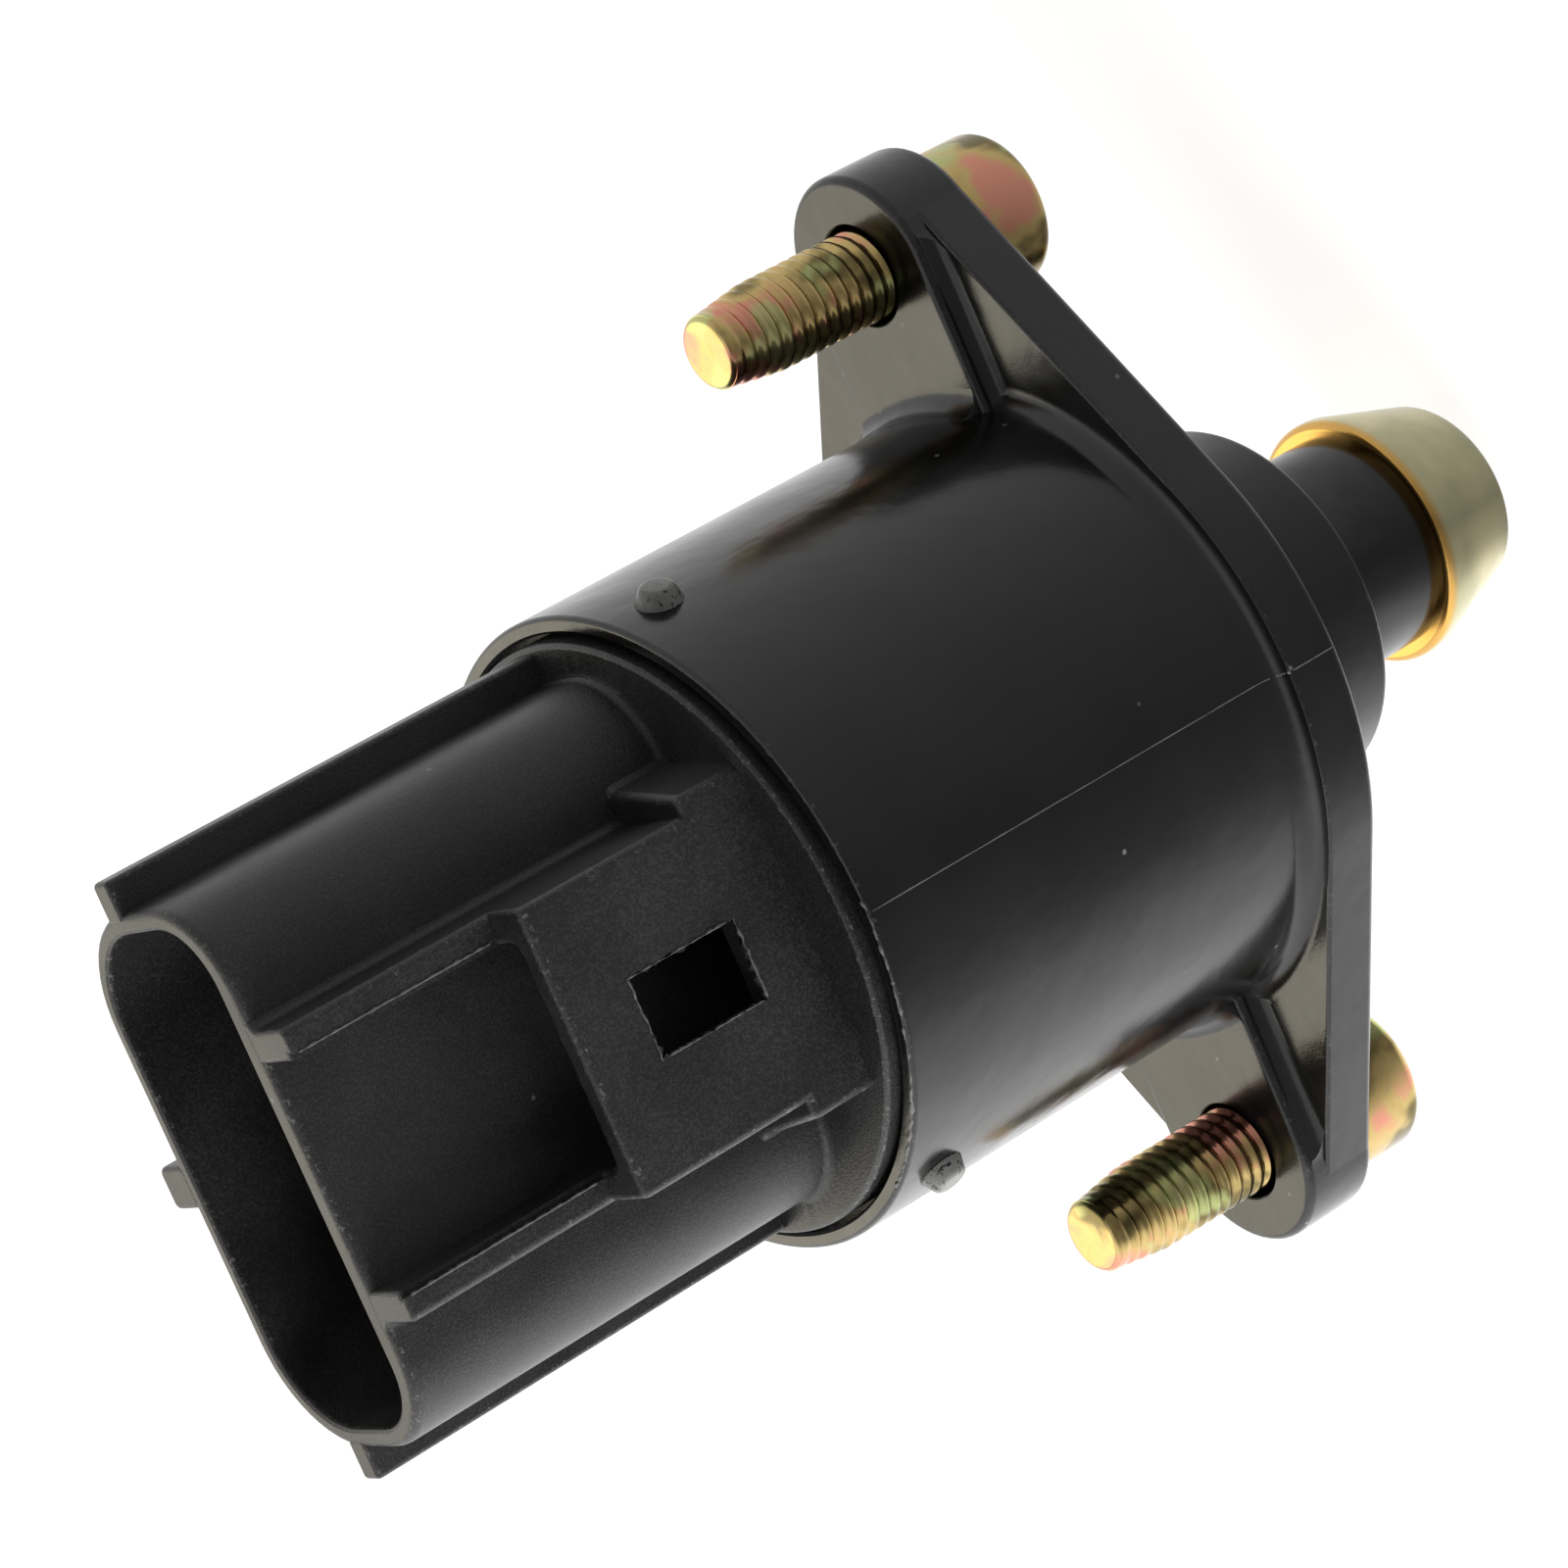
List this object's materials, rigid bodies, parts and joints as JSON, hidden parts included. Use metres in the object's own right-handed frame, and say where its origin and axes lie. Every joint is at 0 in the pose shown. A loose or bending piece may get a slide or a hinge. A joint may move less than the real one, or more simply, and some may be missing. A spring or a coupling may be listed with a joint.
{
  "type": "idle air control valve",
  "caption": "Stepper-driven air valve: flanged black plastic body with a plug socket and latch bridge on top, and a tapered metal pintle on a lead screw below the nose.",
  "frame": {"origin": "middle of the mounting face, on the axis of the nose", "axes": "+Z along the valve's axis from the pintle up to the plug socket; X through the two screw ears; -Y is the side with the latch rails and bridge"},
  "size_m": [0.0612, 0.0376, 0.0834],
  "materials": {
    "body_plastic": "satin, glass-filled",
    "cap_plastic": "satin, glass-filled",
    "carrier_plastic": "satin",
    "natural_plastic": "satin",
    "seal_rubber": "matt",
    "pintle_metal": "turned, yellow passivated",
    "black_steel": "black oxide",
    "screw_steel": "yellow zinc plated",
    "bright_steel": "ground",
    "polished_steel": "polished",
    "pole_steel": "pressed, zinc plated",
    "ferrite": "ground ferrite",
    "copper_wire": "enamelled copper wire",
    "bronze": "sintered",
    "tinned_brass": "tin plated"
  },
  "bodies": {
    "housing": {"body_housing": "body_plastic", "connector_cap": "cap_plastic", "cap_seal": "seal_rubber", "face_seal": "seal_rubber", "wiper_seal": "seal_rubber", "guide_bush": "natural_plastic", "pintle_spring": "bright_steel", "wave_washer": "bright_steel", "bearing_outer_race": "polished_steel", "front_cup": "pole_steel", "front_bobbin": "natural_plastic", "front_coil": "copper_wire", "front_pole_plate": "pole_steel", "rear_pole_plate": "pole_steel", "rear_bobbin": "natural_plastic", "rear_coil": "copper_wire", "rear_cup": "pole_steel", "rear_plate": "pole_steel", "rear_bush": "bronze", "terminal_carrier": "carrier_plastic", "coil_pins": "tinned_brass", "terminal_1": "tinned_brass", "terminal_2": "tinned_brass", "terminal_3": "tinned_brass", "terminal_4": "tinned_brass", "mounting_screws": "screw_steel"},
    "rotor": {"rotor_hub": "natural_plastic", "rotor_magnet": "ferrite", "bearing_inner_race": "polished_steel"},
    "ball_set": {"bearing_balls": "polished_steel", "bearing_cage": "bronze"},
    "pintle": {"pintle_head": "pintle_metal", "pintle_sleeve": "black_steel", "lead_screw": "bright_steel"}
  },
  "joints": [
    {"name": "rotor_spin", "type": "hinge", "parent": "housing", "child": "rotor", "pos_m": [0, 0, 0.00525], "axis": [0, 0, 1], "range_deg": [-2700, 360]},
    {"name": "ball_orbit", "type": "hinge", "parent": "housing", "child": "ball_set", "pos_m": [0, 0, 0.00525], "axis": [0, 0, 1], "range_deg": [-1080, 144]},
    {"name": "pintle_slide", "type": "slide", "parent": "housing", "child": "pintle", "axis": [0, 0, 1], "range_m": [-0.001, 0.0075], "deforming": ["pintle_spring"]}
  ],
  "couplings": [
    {"joint": "ball_orbit", "follows": "rotor_spin", "ratio": 0.4},
    {"joint": "pintle_slide", "follows": "rotor_spin", "m_per_rad": -0.00015915}
  ]
}
